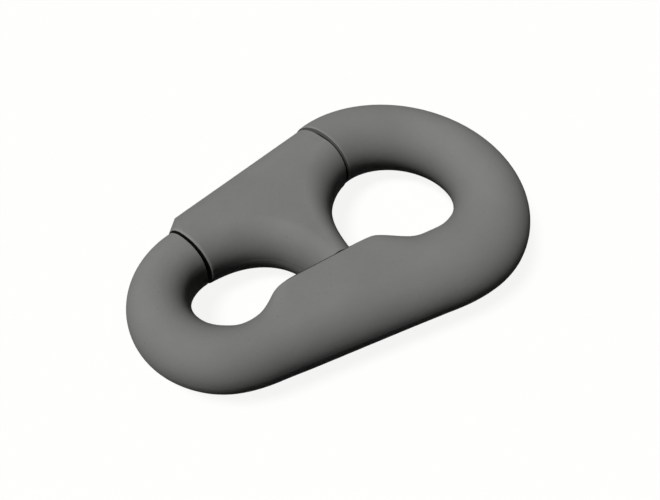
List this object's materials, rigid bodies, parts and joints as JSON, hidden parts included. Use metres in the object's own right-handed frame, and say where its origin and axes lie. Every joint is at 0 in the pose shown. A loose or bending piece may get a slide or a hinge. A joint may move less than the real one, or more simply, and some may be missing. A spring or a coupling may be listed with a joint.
{
  "type": "pear shaped shackle",
  "caption": "Forged pear shaped shackle: C-shaped link closed by a split T-shaped coupling pair with stud, held by a slanted taper pin.",
  "frame": {"origin": "middle of the whole link's bounding box, on the plane where the coupling plates part", "axes": "+X along the link to the large bow, +Y to the coupling plates, +Z through the thickness"},
  "size_m": [0.562, 0.3757, 0.0934],
  "materials": {
    "c_link_steel": "matte grey over a forged skin",
    "plate_steel": "matte grey over a forged skin",
    "pin_steel": "turned steel",
    "lead": "hammered lead, dull"
  },
  "bodies": {
    "root": {"c_link": "c_link_steel", "upper_coupling_plate": "plate_steel", "lower_coupling_plate": "plate_steel", "taper_pin": "pin_steel", "lead_plug": "lead"}
  },
  "joints": []
}
